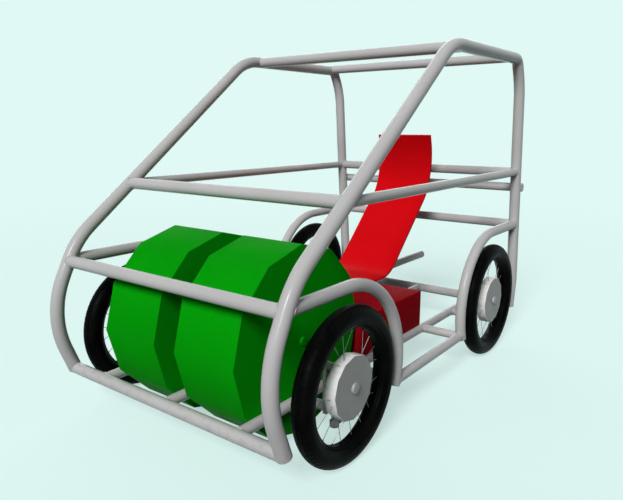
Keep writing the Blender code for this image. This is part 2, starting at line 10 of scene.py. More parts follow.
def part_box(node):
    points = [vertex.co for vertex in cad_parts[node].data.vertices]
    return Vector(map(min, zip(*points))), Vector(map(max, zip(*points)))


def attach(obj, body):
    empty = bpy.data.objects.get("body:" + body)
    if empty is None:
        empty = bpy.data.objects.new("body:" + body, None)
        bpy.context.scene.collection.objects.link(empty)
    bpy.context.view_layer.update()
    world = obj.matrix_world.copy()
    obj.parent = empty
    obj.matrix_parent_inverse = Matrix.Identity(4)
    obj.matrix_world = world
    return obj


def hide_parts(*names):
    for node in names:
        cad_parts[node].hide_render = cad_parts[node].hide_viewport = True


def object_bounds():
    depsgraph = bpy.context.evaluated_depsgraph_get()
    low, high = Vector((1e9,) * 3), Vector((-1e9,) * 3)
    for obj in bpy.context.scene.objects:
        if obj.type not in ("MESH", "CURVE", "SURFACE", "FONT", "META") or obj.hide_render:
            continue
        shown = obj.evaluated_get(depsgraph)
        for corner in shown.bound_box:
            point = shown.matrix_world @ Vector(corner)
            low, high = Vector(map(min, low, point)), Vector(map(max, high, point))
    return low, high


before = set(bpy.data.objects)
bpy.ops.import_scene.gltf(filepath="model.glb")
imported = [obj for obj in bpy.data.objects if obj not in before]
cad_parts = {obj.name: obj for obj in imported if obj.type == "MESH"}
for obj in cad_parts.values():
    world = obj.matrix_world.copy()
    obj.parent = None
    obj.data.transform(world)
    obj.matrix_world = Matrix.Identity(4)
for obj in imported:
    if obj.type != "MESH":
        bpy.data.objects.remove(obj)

cad_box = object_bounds()


# ---- Side hoops -------------------------------------------------------------------------------
# Each hoop is one length of round steel tube, bent cold over formers into the outline of the cage and
# sprayed light grey. The two are set up first, because every crossbar and arch is coped onto them.
HOOP_BENDS = (                  # y, z of each corner and the radius it is bent to
    (-0.8684, 0.1570, None),
    (-0.9495, 0.3788, 0.335),
    (-0.8250, 0.6320, 0.312),
    (0.0780, 1.3230, 0.244),
    (0.7790, 1.3278, 0.050),
    (0.8362, 1.2150, 0.300),
    (0.9180, 0.2750, 0.200),
    (0.8975, 0.1450, None),
)
FORMER_STEP = math.radians(3)   # turn from one ring of a bend to the next
TUBE_SIDES = 32
COPE_GAP = 0.0002               # a coped end stands this far off its carrier
END_CHAMFER = 0.0016            # on the cap that closes an open tube
ENAMEL_GREY = (0.550, 0.545, 0.543)
PRIMER_GREY = (0.30, 0.30, 0.31)
SETTLED_DUST = (0.50, 0.47, 0.42, 1.0)
ROAD_DIRT = (0.105, 0.095, 0.080, 1.0)
PEEL_DEPTH = 0.00003            # of the orange peel in the enamel
STEEP_EDGE = math.radians(35)   # steeper edges than this stay crisp


def new_group(name, sockets_in, sockets_out):
    """Return an empty effect group with its two end nodes; a number or a colour sets an input's type."""
    group = bpy.data.node_groups.new(name, "ShaderNodeTree")
    for label, start in sockets_in.items():
        kind = "NodeSocketColor" if isinstance(start, tuple) else "NodeSocketFloat"
        group.interface.new_socket(label, in_out="INPUT", socket_type=kind).default_value = start
    for label, kind in sockets_out.items():
        group.interface.new_socket(label, in_out="OUTPUT", socket_type=f"NodeSocket{kind}")
    return group, group.nodes.new("NodeGroupInput").outputs, group.nodes.new("NodeGroupOutput").inputs


def add_node(tree, kind, settings=None, **sockets):
    """Add a shader node; a keyword sets or links the input socket of that name, with _ for a space."""
    node = tree.nodes.new(f"ShaderNode{kind}")
    for key, value in (settings or {}).items():
        setattr(node, key, value)
    for key, value in sockets.items():
        socket = node.inputs[int(key[1:]) if key[0] == "_" else key.replace("_", " ")]
        if isinstance(value, bpy.types.NodeSocket):
            tree.links.new(value, socket)
        else:
            socket.default_value = value
    return node


def work_out(tree, operation, *values):
    """Return the result of one Math node."""
    sockets = {f"_{place}": value for place, value in enumerate(values)}
    return add_node(tree, "Math", {"operation": operation}, **sockets).outputs[0]


def ramp(tree, value, low, high, to_low=0.0, to_high=1.0):
    """Return a value eased from one range to another and held at its ends."""
    node = add_node(tree, "MapRange", {"interpolation_type": "SMOOTHSTEP"}, Value=value)
    for label, number in zip(("From Min", "From Max", "To Min", "To Max"), (low, high, to_low, to_high)):
        node.inputs[label].default_value = number
    return node.outputs["Result"]


def blend_colours(tree, factor, first, second):
    """Return two colours mixed by a factor."""
    node = tree.nodes.new("ShaderNodeMix")
    node.data_type = "RGBA"
    for place, value in ((0, factor), (6, first), (7, second)):
        if isinstance(value, bpy.types.NodeSocket):
            tree.links.new(value, node.inputs[place])
        else:
            node.inputs[place].default_value = value
    return node.outputs[2]


def speckle(tree, scale, detail, roughness=0.5):
    """Return the grey value of a noise that is fixed to the piece."""
    place = add_node(tree, "TexCoord").outputs["Object"]
    noise = add_node(tree, "TexNoise", Vector=place, Scale=scale, Detail=detail, Roughness=roughness)
    return noise.outputs[0]


def make_sprayed_coat():
    """Sprayed enamel: slow changes of shade, orange peel, and dust that settles on what faces up."""
    group, given, result = new_group(
        "sprayed_coat",
        {"Colour": (0.5, 0.5, 0.5, 1.0), "Gloss": 0.35, "Shade Spread": 0.05, "Dust": 0.05, "Peel": 1.0},
        {"Colour": "Color", "Roughness": "Float", "Height": "Float"})
    shade = ramp(group, speckle(group, 4.0, 4.0), 0.30, 0.70, -1.0, 1.0)
    factor = work_out(group, "MULTIPLY_ADD", shade, given["Shade Spread"], 1.0)
    tinted = add_node(group, "VectorMath", {"operation": "SCALE"}, _0=given["Colour"], Scale=factor)
    facing = add_node(group, "SeparateXYZ", _0=add_node(group, "NewGeometry").outputs["Normal"]).outputs["Z"]
    patches = ramp(group, speckle(group, 26.0, 6.0), 0.35, 0.75)
    settled = work_out(group, "MULTIPLY", ramp(group, facing, 0.2, 0.9), patches)
    dust = work_out(group, "MULTIPLY", settled, given["Dust"])
    colour = blend_colours(group, dust, tinted.outputs[0], SETTLED_DUST)
    smears = ramp(group, speckle(group, 11.0, 5.0, 0.6), 0.3, 0.7, -0.045, 0.055)
    smeared = work_out(group, "ADD", given["Gloss"], smears)
    rough = work_out(group, "ADD", smeared, work_out(group, "MULTIPLY", dust, 0.8))
    peel = work_out(group, "MULTIPLY", speckle(group, 420.0, 2.0), given["Peel"])
    for label, value in (("Colour", colour), ("Roughness", rough), ("Height", peel)):
        group.links.new(value, result[label])
    return group


def make_edge_rub():
    """Edges that hands and boots rub: 1 on the corners of a piece, broken up, and 0 on its faces."""
    group, given, result = new_group("edge_rub", {"Reach": 0.003, "Amount": 1.0}, {"Rub": "Float"})
    rounded = add_node(group, "Bevel", {"samples": 6}, Radius=given["Reach"]).outputs[0]
    own = add_node(group, "NewGeometry").outputs["True Normal"]
    match = add_node(group, "VectorMath", {"operation": "DOT_PRODUCT"}, _0=rounded, _1=own).outputs["Value"]
    corner = ramp(group, work_out(group, "SUBTRACT", 1.0, match), 0.01, 0.10)
    broken = ramp(group, speckle(group, 60.0, 5.0, 0.65), 0.38, 0.62)
    rub = work_out(group, "MULTIPLY", work_out(group, "MULTIPLY", corner, broken), given["Amount"])
    group.links.new(rub, result["Rub"])
    return group


def make_road_splash():
    """Dried splashes off the road, thickest near the ground and gone at knee height."""
    group, given, result = new_group("road_splash", {"Top": 0.30, "Amount": 0.5}, {"Splash": "Float"})
    place = add_node(group, "NewGeometry").outputs["Position"]
    height = add_node(group, "SeparateXYZ", _0=place).outputs["Z"]
    low_down = work_out(group, "SUBTRACT", 1.0, work_out(group, "DIVIDE", height, given["Top"]))
    spots = ramp(group, speckle(group, 45.0, 8.0, 0.7), 0.48, 0.66)
    held = work_out(group, "MAXIMUM", work_out(group, "MULTIPLY", low_down, spots), 0.0)
    group.links.new(work_out(group, "MULTIPLY", held, given["Amount"]), result["Splash"])
    return group


sprayed_coat = make_sprayed_coat()
edge_rub = make_edge_rub()
road_splash = make_road_splash()


def new_finish(name, **constants):
    """Return a material, its tree and its shader, with the shader's plain numbers set on its sockets."""
    material = bpy.data.materials.new(name)
    material.use_nodes = True
    shader = material.node_tree.nodes["Principled BSDF"]
    for label, number in constants.items():
        shader.inputs[label.replace("_", " ")].default_value = number
    return material, material.node_tree, shader


def place_group(tree, group, **sockets):
    """Put an effect group into a material with its own values."""
    node = tree.nodes.new("ShaderNodeGroup")
    node.node_tree = group
    for label, value in sockets.items():
        socket = node.inputs[label.replace("_", " ")]
        if isinstance(value, bpy.types.NodeSocket):
            tree.links.new(value, socket)
        else:
            socket.default_value = value
    return node.outputs


def raise_surface(tree, shader, height, distance, strength=1.0):
    """Let a height stand out of the surface by up to the given distance."""
    bump = add_node(tree, "Bump", Height=height, Strength=strength, Distance=distance)
    tree.links.new(bump.outputs["Normal"], shader.inputs["Normal"])


def make_enamel(name, colour, gloss, spread, dust, under_coat, rubbed, splashed, sheen):
    """Sprayed enamel over primer, rubbed at its edges and splashed low down."""
    material, tree, shader = new_finish(name, Specular_IOR_Level=sheen)
    coat = place_group(tree, sprayed_coat, Colour=(*colour, 1.0), Gloss=gloss, Shade_Spread=spread, Dust=dust)
    rub = place_group(tree, edge_rub, Reach=0.0025, Amount=rubbed)["Rub"]
    splash = place_group(tree, road_splash, Amount=splashed)["Splash"]
    worn = blend_colours(tree, rub, coat["Colour"], (*under_coat, 1.0))
    dirty = blend_colours(tree, splash, worn, ROAD_DIRT)
    tree.links.new(dirty, shader.inputs["Base Color"])
    rough = work_out(tree, "ADD", coat["Roughness"], work_out(tree, "MULTIPLY", splash, 0.4))
    tree.links.new(rough, shader.inputs["Roughness"])
    raise_surface(tree, shader, coat["Height"], PEEL_DEPTH)
    return material


frame_enamel = make_enamel("frame_enamel", ENAMEL_GREY, gloss=0.19, spread=0.030, dust=0.020,
                           under_coat=PRIMER_GREY, rubbed=0.25, splashed=0.35, sheen=0.18)


def bend_line(corners, x=0.0):
    """Return the middle line through corners of y, z and bend radius, in the plane at x."""
    flat = [Vector((y, z)) for y, z, _ in corners]
    line = [Vector((x, *flat[0]))]
    for before, corner, after, (_, _, radius) in zip(flat, flat[1:], flat[2:], corners[1:]):
        back, onward = (before - corner).normalized(), (after - corner).normalized()
        half = back.angle(onward) / 2
        centre = corner + (back + onward).normalized() * radius / math.sin(half)
        start = corner + back * radius / math.tan(half) - centre
        turn = math.copysign(math.pi - 2 * half, (corner - before).cross(after - corner))
        steps = max(2, round(abs(turn) / FORMER_STEP))
        for step in range(steps + 1):
            line.append(Vector((x, *(centre + Matrix.Rotation(turn * step / steps, 2) @ start))))
    line.append(Vector((x, *flat[-1])))
    return line


def rings_along(line, radius, sides):
    """Return rings of points square to a line that lies in one plane."""
    run = (line[-1] - line[0]).normalized()
    across = Vector((1, 0, 0)) if abs(run.x) < 0.5 else Vector((0, 0, 1))
    rings = []
    for index, spot in enumerate(line):
        before, after = line[max(index - 1, 0)], line[min(index + 1, len(line) - 1)]
        heading = ((spot - before).normalized() + (after - spot).normalized()).normalized()
        outward = heading.cross(across).normalized()
        rings.append([spot + radius * (math.cos(angle) * across + math.sin(angle) * outward)
                      for angle in (math.tau * side / sides for side in range(sides))])
    return rings


def skin(rings, closed=False):
    """Return a bmesh of quads between rings, with its two ends closed or joined to each other."""
    bm = bmesh.new()
    made = [[bm.verts.new(spot) for spot in ring] for ring in rings]
    following = made[1:] + made[:1] if closed else made[1:]
    for ring, onward in zip(made, following):
        for side in range(len(ring)):
            other = (side + 1) % len(ring)
            bm.faces.new((ring[side], ring[other], onward[other], onward[side]))
    if not closed:
        bm.faces.new(made[0])
        bm.faces.new(made[-1])
    return bm


def show(name, bm, finish, body="frame", stands_for=(), crisp=STEEP_EDGE, at=None):
    """Turn a bmesh into a finished piece that rides on a body and stands for nodes of the frame."""
    bmesh.ops.recalc_face_normals(bm, faces=bm.faces[:])
    mesh = bpy.data.meshes.new(name)
    bm.to_mesh(mesh)
    bm.free()
    mesh.materials.append(finish)
    mesh.shade_smooth()
    mesh.set_sharp_from_angle(angle=crisp)
    piece = bpy.data.objects.new(name, mesh)
    bpy.context.scene.collection.objects.link(piece)
    if at is not None:
        piece.location = at
    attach(piece, body)
    if stands_for:
        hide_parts(*stands_for)
    return piece


carriers = {}                   # the outside of each tube that others are coped onto
weld_lines = []                 # where a coped end meets its carrier, for the weld beads


def cope(ring, next_ring, names):
    """Run each side of a tube on to the nearest carrier, and note the line where they meet."""
    coped, seam = [], []
    for end, inner in zip(ring, next_ring):
        start = (end + inner) / 2
        along = (end - start).normalized()
        hits = [carriers[name].ray_cast(start, along) for name in names]
        hits = [hit for hit in hits if hit[0] is not None]
        if not hits:
            coped.append(end)
            continue
        spot, normal, _, _ = min(hits, key=lambda hit: hit[3])
        coped.append(spot - along * COPE_GAP)
        seam.append((spot, normal))
    if len(seam) == len(ring):
        middle = sum(coped, Vector()) / len(coped)
        weld_lines.append([(spot, normal, (spot - middle).normalized()) for spot, normal in seam])
    return coped


def close_end(rings):
    """Add the chamfered cap of an open end to a list of rings that ends there."""
    last, inner = rings[-1], rings[-2]
    middle, back = sum(last, Vector()) / len(last), sum(inner, Vector()) / len(inner)
    heading = (middle - back).normalized()
    shoulder = [spot - heading * END_CHAMFER for spot in last]
    mouth = [spot + (middle - spot).normalized() * END_CHAMFER for spot in last]
    return [*rings[:-1], shoulder, mouth]


def lay_tube(node, line, radius, first_on=(), last_on=()):
    """Make the tube that stands for a node, each end coped onto its carriers or closed by a cap."""
    rings = rings_along(line, radius, TUBE_SIDES)
    carriers[node] = BVHTree.FromPolygons(*outside_of(rings))
    if first_on:
        rings[0] = cope(rings[0], rings[1], first_on)
    else:
        rings = close_end(rings[::-1])[::-1]
    if last_on:
        rings[-1] = cope(rings[-1], rings[-2], last_on)
    else:
        rings = close_end(rings)
    return show(f"{node}_tube", skin(rings), frame_enamel, stands_for=(node,))


def outside_of(rings):
    """Return the points and quads of a tube's outside, for finding where another tube meets it."""
    sides = len(rings[0])
    quads = [(row * sides + side, row * sides + (side + 1) % sides,
              (row + 1) * sides + (side + 1) % sides, (row + 1) * sides + side)
             for row in range(len(rings) - 1) for side in range(sides)]
    return [spot for ring in rings for spot in ring], quads


def middle_of(node):
    """Return the middle of a node and half its size each way."""
    low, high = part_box(node)
    return (low + high) / 2, (high - low) / 2


hoop_x = {}
for side in ("left", "right"):
    centre, half = middle_of(f"{side}_hoop")
    hoop_x[side] = centre.x
    lay_tube(f"{side}_hoop", bend_line(HOOP_BENDS, centre.x), half.x)


# ---- Crossbars --------------------------------------------------------------------------------
# Straight tubes across the cage at the roof, the belt, the nose, the tail and the floor, sawn to
# length, coped to the hoops and welded. The rear bar lies behind the posts with its ends free.
CROSSBARS = ("roof_front", "roof_rear", "belt_front", "belt_rear", "nose", "rear_lower", "floor_front",
             "floor_rear")
for place in CROSSBARS:
    centre, half = middle_of(f"{place}_crossbar")
    ends = [Vector((hoop_x[side], centre.y, centre.z)) for side in ("right", "left")]
    lay_tube(f"{place}_crossbar", ends, half.z, ("right_hoop",), ("left_hoop",))


def lay_across(node):
    """Make a straight tube across the cage with both ends open, and return its middle."""
    centre, half = middle_of(node)
    reach = Vector((half.x, 0, 0))
    lay_tube(node, [centre - reach, centre + reach], half.z)
    return centre


lay_across("rear_bar")


# ---- Rails, arches and sills ------------------------------------------------------------------
# Thinner tubes run fore and aft: three under the floor and one along each side at the belt. A bent
# arch goes over each wheel, and a sill and two short foot tubes tie its feet to the floor.
FRONT_ARCH_REACH = 0.3145       # front axle to the leg of its arch
REAR_ARCH_REACH = 0.3040
ARCH_WRAP = math.radians(110)   # how far an arch goes round its wheel, from straight above the axle
ARCH_STEPS = 36


def lengthwise(node, first_on, last_on):
    """Make a straight tube along the vehicle, with its ends where its carriers are."""
    centre, half = middle_of(node)
    ends = [Vector((centre.x, sign * half.y + centre.y, centre.z)) for sign in (-1, 1)]
    run_in = Vector((0, half.x, 0))
    return lay_tube(node, [ends[0] - run_in, ends[1] + run_in], half.x, first_on, last_on)


for word in ("left", "centre", "right"):
    lengthwise(f"{word}_floor_rail", ("floor_front_crossbar",), ("floor_rear_crossbar",))
for side in ("left", "right"):
    hoop = f"{side}_hoop"
    lengthwise(f"{side}_belt_rail", (hoop, "belt_front_crossbar"), (hoop, "belt_rear_crossbar"))
    for end, reach, bar in (("front", FRONT_ARCH_REACH, "nose_crossbar"),
                            ("rear", -REAR_ARCH_REACH, "rear_lower_crossbar")):
        arch = f"{side}_{end}_arch"
        low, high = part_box(arch)
        radius = (high.x - low.x) / 2
        axle, _ = middle_of(f"{end}_{side}_tyre")
        rise = high.z - radius - axle.z
        line = [Vector((hoop_x[side], middle_of(bar)[0].y, axle.z + rise))]
        for step in range(ARCH_STEPS + 1):
            angle = ARCH_WRAP * step / ARCH_STEPS
            back, up = reach * math.sin(angle), rise * math.cos(angle)
            line.append(Vector((hoop_x[side], axle.y + back, axle.z + up)))
        lay_tube(arch, line, radius, (hoop, bar))
    lengthwise(f"{side}_sill", (f"{side}_front_arch",), (f"{side}_rear_arch",))
    for end in ("front", "rear"):
        node = f"{side}_{end}_foot_tube"
        centre, half = middle_of(node)
        rail_x = middle_of(f"{side}_floor_rail")[0].x
        line = [Vector((x, centre.y, centre.z)) for x in (rail_x, hoop_x[side])]
        lay_tube(node, line, half.z, (f"{side}_floor_rail",), (f"{side}_{end}_arch", f"{side}_sill"))


# ---- Spine, drum axle and post ----------------------------------------------------------------
# A tube along the middle carries the seat. Its front end is welded to the cross tube that is the
# drums' axle, and a short post stands under it on the middle floor rail.
drum_line = lay_across("drum_axle")
low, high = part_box("spine_tube")
spine = Vector(((low.x + high.x) / 2, 0, (low.z + high.z) / 2))
spine_radius = (high.z - low.z) / 2
ends = [Vector((spine.x, drum_line.y, spine.z)), Vector((spine.x, high.y, spine.z))]
lay_tube("spine_tube", ends, spine_radius, ("drum_axle",))
centre, half = middle_of("spine_post")
ends = [Vector((centre.x, centre.y, z)) for z in (middle_of("centre_floor_rail")[0].z, spine.z)]
lay_tube("spine_post", ends, half.x, ("centre_floor_rail",), ("spine_tube",))


# ---- Brackets and rear axle carriers ----------------------------------------------------------
# Flat steel uprights on short tubes that are welded to the outer floor rails. The front ones have two
# lugs for a kingpin, and the rear ones hold a fixed stub axle. They are sprayed with the frame.
BRACKET_EASE = 0.0009           # on sawn and ground edges
FILED_ANGLE = 50                # degrees; edges steeper than this are filed round
FLAT_ANGLE = math.radians(0.5)  # faces that meet at less than this are one flat face
SAME_SPOT = 0.00001
SLIVER = 0.00002                # faces narrower than this are closed up
STUB_TUBE_RADIUS = 0.0165
STUB_TUBE_REACH = 0.09          # from the rail's middle
CAP_RADIUS = 0.0180             # of the cap that keeps a wheel on its axle
CAP_LENGTH = 0.0080
CAP_EDGE = 0.0022
CAP_SIDES = 48
CAP_OVERLAP = 0.001             # of an axle into its cap
CAP_GREY = (0.40, 0.40, 0.40)
BRIGHT_METAL = (0.62, 0.62, 0.61, 1.0)  # where a corner is rubbed


def eased_copy(node, ease):
    """Return the shape of a node with its steep edges rounded by a file."""
    bm = bmesh.new()
    bm.from_mesh(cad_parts[node].data)
    bmesh.ops.remove_doubles(bm, verts=bm.verts[:], dist=SAME_SPOT)
    join_flat_faces(bm)
    round_off(bm, ease, FILED_ANGLE)
    clean_slivers(bm)
    return bm


def join_flat_faces(bm):
    """Join the faces that lie flat beside each other into single faces."""
    bmesh.ops.dissolve_limit(bm, angle_limit=FLAT_ANGLE, verts=bm.verts[:], edges=bm.edges[:])


def clean_slivers(bm):
    """Close up the faces without width that rounding or cutting can leave."""
    bmesh.ops.remove_doubles(bm, verts=bm.verts[:], dist=SLIVER)
    bmesh.ops.dissolve_degenerate(bm, edges=bm.edges[:], dist=SLIVER)


def round_off(bm, ease, steep, segments=2):
    """Round the edges of a bmesh where two faces meet more steeply than the given angle."""
    edges = [edge for edge in bm.edges
             if len(edge.link_faces) == 2 and edge.calc_face_angle(0) > math.radians(steep)]
    bmesh.ops.bevel(bm, geom=edges, offset=ease, segments=segments, profile=0.5, affect="EDGES",
                    clamp_overlap=True)


def turn(profile, sides, closed=False):
    """Return a bmesh of x and radius points turned about the X axis; a radius of 0 closes an end."""
    bm = bmesh.new()
    columns = []
    for x, radius in profile:
        if radius == 0:
            columns.append([bm.verts.new((x, 0, 0))] * sides)
            continue
        spots = ((x, radius * math.sin(math.tau * side / sides), radius * math.cos(math.tau * side / sides))
                 for side in range(sides))
        columns.append([bm.verts.new(spot) for spot in spots])
    onward = columns[1:] + columns[:1] if closed else columns[1:]
    for column, after in zip(columns, onward):
        for side in range(sides):
            other = (side + 1) % sides
            corners = (column[side], column[other], after[other], after[side])
            bm.faces.new(list(dict.fromkeys(corners)))
    return bm


def from_axle(tree):
    """Return how far a spot of the surface is from the axle that its piece turns about."""
    place = add_node(tree, "TexCoord").outputs["Object"]
    flat = add_node(tree, "VectorMath", {"operation": "MULTIPLY"}, _0=place, _1=(0.0, 1.0, 1.0))
    return add_node(tree, "VectorMath", {"operation": "LENGTH"}, _0=flat.outputs[0]).outputs["Value"]


def make_turned_marks():
    """Marks of the lathe: fine lines round the X axis, small changes of shade, and smears of gloss."""
    group, given, result = new_group(
        "turned_marks",
        {"Colour": (0.5, 0.5, 0.5, 1.0), "Gloss": 0.35, "Line Spread": 0.04},
        {"Colour": "Color", "Roughness": "Float", "Height": "Float"})
    along_radius = {"noise_dimensions": "1D"}
    lines = add_node(group, "TexNoise", along_radius, W=from_axle(group), Scale=900.0, Detail=3.0).outputs[0]
    shade = ramp(group, speckle(group, 9.0, 5.0), 0.3, 0.7, 0.93, 1.05)
    either_way = ramp(group, lines, 0.2, 0.8, -1.0, 1.0)
    stripes = work_out(group, "MULTIPLY_ADD", either_way, given["Line Spread"], 1.0)
    tone = work_out(group, "MULTIPLY", shade, stripes)
    tinted = add_node(group, "VectorMath", {"operation": "SCALE"}, _0=given["Colour"], Scale=tone)
    smears = ramp(group, speckle(group, 24.0, 6.0), 0.3, 0.7, -0.05, 0.08)
    group.links.new(tinted.outputs[0], result["Colour"])
    group.links.new(work_out(group, "ADD", given["Gloss"], smears), result["Roughness"])
    group.links.new(lines, result["Height"])
    return group


turned_marks = make_turned_marks()


def make_turned_metal(name, colour, gloss, metal, line_depth, sheen=0.5):
    """Bare or thinly sprayed metal that was turned on a lathe, with its corners rubbed bright."""
    material, tree, shader = new_finish(name, Metallic=metal, Specular_IOR_Level=sheen)
    marks = place_group(tree, turned_marks, Colour=(*colour, 1.0), Gloss=gloss)
    rub = place_group(tree, edge_rub, Reach=0.0015, Amount=0.35)["Rub"]
    bright = blend_colours(tree, rub, marks["Colour"], BRIGHT_METAL)
    tree.links.new(bright, shader.inputs["Base Color"])
    tree.links.new(marks["Roughness"], shader.inputs["Roughness"])
    raise_surface(tree, shader, marks["Height"], line_depth)
    return material


cap_metal = make_turned_metal("turned_cap_metal", CAP_GREY, 0.34, 0.0, 0.00008)


def fit_cap(name, sign, centre, body):
    """Fit the turned cap at the outer end of an axle, flush with the outside of the vehicle."""
    shoulder = CAP_EDGE * 0.3
    profile = ((0.0, 0.0), (0.0, CAP_RADIUS), (CAP_LENGTH - CAP_EDGE, CAP_RADIUS),
               (CAP_LENGTH - shoulder, CAP_RADIUS - shoulder), (CAP_LENGTH, CAP_RADIUS - CAP_EDGE),
               (CAP_LENGTH, 0.0))
    bm = turn([(sign * x, radius) for x, radius in profile], CAP_SIDES)
    tip = sign * (cad_box[1].x - CAP_LENGTH)
    return show(name, bm, cap_metal, body, at=(tip, centre.y, centre.z))


def cut_cap_off(bm, limit):
    """Cut a copied axle off where its turned cap begins, and close it."""
    for sign in (-1, 1):
        cut = bmesh.ops.bisect_plane(bm, geom=bm.verts[:] + bm.edges[:] + bm.faces[:],
                                     plane_co=(sign * limit, 0, 0), plane_no=(sign, 0, 0), clear_outer=True)
        rim = [edge for edge in cut["geom_cut"] if isinstance(edge, bmesh.types.BMEdge)]
        if rim:
            bmesh.ops.edgeloop_fill(bm, edges=rim)
    clean_slivers(bm)


cap_root = cad_box[1].x - CAP_LENGTH
for side in ("left", "right"):
    sign = 1 if side == "left" else -1
    rail = f"{side}_floor_rail"
    rail_x = middle_of(rail)[0].x
    for node in (f"rear_{side}_axle_carrier", f"front_{side}_bracket"):
        axle = middle_of(f"{node.split('_')[0]}_{side}_tyre")[0]
        bm = eased_copy(node, BRACKET_EASE)
        if node.startswith("rear"):
            cut_cap_off(bm, cap_root + CAP_OVERLAP)
            fit_cap(f"rear_{side}_axle_cap", sign, axle, "frame")
        show(f"{node}_plate", bm, frame_enamel, stands_for=(node,))
        rail_z = middle_of(rail)[0].z
        line = [Vector((x, axle.y, rail_z)) for x in (rail_x + sign * STUB_TUBE_REACH, rail_x)]
        rings = rings_along(line, STUB_TUBE_RADIUS, TUBE_SIDES)
        cope(rings[1], rings[0], (rail,))


# ---- Weld beads -------------------------------------------------------------------------------
# Every coped end is welded all round to the tube that carries it. The bead is laid in small overlapping
# drops, which leave even ripples, and is sprayed together with the tubes.
BEAD_RADIUS = 0.0023
BEAD_STEPS = 108
BEAD_SIDES = 6
RIPPLES = 36
RIPPLE_HEIGHT = 0.10            # share of the bead's radius
BEAD_RISE = 0.35                # share of its radius by which a bead stands out of the corner
SMOOTH_BEAD = math.radians(80)


def bead_rings(seam):
    """Return the rings of one bead, laid in the corner between a tube and its carrier."""
    spots = np.array([[*spot, *(normal + outward).normalized()] for spot, normal, outward in seam])
    places = np.arange(BEAD_STEPS) * len(seam) / BEAD_STEPS
    around = np.arange(len(seam) + 1)
    laid = np.column_stack([np.interp(places, around, np.append(column, column[0])) for column in spots.T])
    centres = laid[:, :3] + laid[:, 3:] * BEAD_RADIUS * BEAD_RISE
    rings = []
    for step in range(BEAD_STEPS):
        heading = Vector(centres[(step + 1) % BEAD_STEPS] - centres[step - 1]).normalized()
        up = Vector(laid[step, 3:])
        aside = heading.cross(up).normalized()
        up = aside.cross(heading).normalized()
        radius = BEAD_RADIUS * (1 + RIPPLE_HEIGHT * math.sin(math.tau * RIPPLES * step / BEAD_STEPS))
        rings.append([Vector(centres[step]) + radius * (math.cos(angle) * up + math.sin(angle) * aside)
                      for angle in (math.tau * part / BEAD_SIDES for part in range(BEAD_SIDES))])
    return rings


def add_part(whole, part):
    """Add one bmesh to another and let the first go."""
    spare = bpy.data.meshes.new("part")
    part.to_mesh(spare)
    part.free()
    whole.from_mesh(spare)
    bpy.data.meshes.remove(spare)


beads = bmesh.new()
for seam in weld_lines:
    add_part(beads, skin(bead_rings(seam), closed=True))
show("frame_weld_beads", beads, frame_enamel, crisp=SMOOTH_BEAD)


# ---- Drums ------------------------------------------------------------------------------------
# Twin twelve-sided drums of folded sheet steel, side by side on the cross tube with a gap between
# them. Each has a small round boss at the middle of its outer end, and both are sprayed green.
DRUM_SIDES = 12
DRUM_EASE = 0.0016              # on the seam round each end
BOSS_RADIUS = 0.0145
BOSS_HEIGHT = 0.009
BOSS_ROOT = 0.004               # length of a boss inside its drum
BOSS_EDGE = 0.0015
BOSS_SIDES = 48
DRUM_GREEN = (0.0018, 0.340, 0.0034)
RUBBED_GREEN = (0.03, 0.22, 0.035)


def many_sided(radius, start, end, sides, ease):
    """Return a bmesh prism along X with a corner at the top and a narrow chamfer round both ends."""
    inward = math.copysign(ease, end - start)
    profile = ((start, 0.0), (start, radius - ease), (start + inward, radius), (end - inward, radius),
               (end, radius - ease), (end, 0.0))
    bm = turn(profile, sides)
    join_flat_faces(bm)
    return bm


drum_enamel = make_enamel("drum_enamel", DRUM_GREEN, gloss=0.46, spread=0.04, dust=0.004,
                          under_coat=RUBBED_GREEN, rubbed=0.45, splashed=0.25, sheen=0.004)
for side, sign in (("left", 1), ("right", -1)):
    node = f"{side}_drum"
    low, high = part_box(node)
    inner, tip = sorted((abs(low.x), abs(high.x)))
    axle = Vector((0, drum_line.y, drum_line.z))
    radius = high.z - axle.z
    outer = tip - BOSS_HEIGHT
    bm = many_sided(radius, inner, outer, DRUM_SIDES, DRUM_EASE)
    root = outer - BOSS_ROOT
    boss = ((root, 0.0), (root, BOSS_RADIUS), (tip - BOSS_EDGE, BOSS_RADIUS),
            (tip, BOSS_RADIUS - BOSS_EDGE), (tip, 0.0))
    for made, name, stands_for in ((bm, f"{side}_drum_shell", (node,)),
                                   (turn(boss, BOSS_SIDES), f"{side}_drum_boss", ())):
        bmesh.ops.scale(made, vec=(sign, 1, 1), verts=made.verts[:])
        show(name, made, drum_enamel, stands_for=stands_for, at=axle)


# ---- Box --------------------------------------------------------------------------------------
# A plain closed box of folded sheet steel that stands on the outer floor rails under the seat. It is
# sprayed a darker, duller red than the seat.
BOX_EASE = 0.0040
BOX_RED = (0.400, 0.0040, 0.0110)
RUBBED_BOX = (0.28, 0.02, 0.02)

box_enamel = make_enamel("box_enamel", BOX_RED, gloss=0.48, spread=0.04, dust=0.004,
                         under_coat=RUBBED_BOX, rubbed=0.45, splashed=0.30, sheen=0.006)
low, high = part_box("seat_box")
bm = bmesh.new()
stretch = Matrix.Diagonal((*(high - low), 1))
bmesh.ops.create_cube(bm, size=1, matrix=Matrix.Translation((low + high) / 2) @ stretch)
round_off(bm, BOX_EASE, FILED_ANGLE, 3)
show("seat_box_shell", bm, box_enamel, stands_for=("seat_box",))


